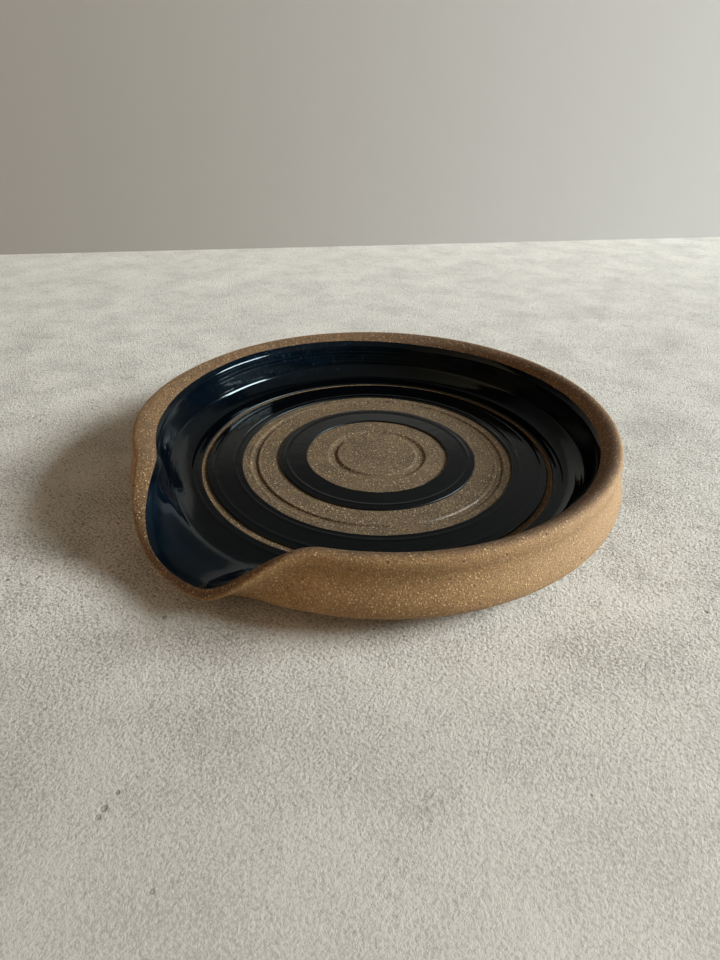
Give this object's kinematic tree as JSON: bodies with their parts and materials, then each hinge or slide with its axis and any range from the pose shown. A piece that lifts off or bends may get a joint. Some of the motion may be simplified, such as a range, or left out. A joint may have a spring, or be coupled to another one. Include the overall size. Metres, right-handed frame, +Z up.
{
  "type": "spoon rest",
  "caption": "Round hand-thrown stoneware dish with a pulled spout for a spoon handle, dark glaze inside with bare clay rings, and bare clay outside.",
  "frame": {"origin": "middle of the flat foot, on the table", "axes": "+Z up, square to the foot; the spout points along -Y"},
  "size_m": [0.1256, 0.13, 0.019],
  "materials": {
    "bare_clay": "matte, speckled",
    "dark_glaze": "gloss"
  },
  "bodies": {
    "root": {"stoneware_body": "bare_clay", "glaze_wall_and_spout": "dark_glaze", "glaze_floor_band": "dark_glaze", "glaze_centre_ring": "dark_glaze"}
  },
  "joints": []
}
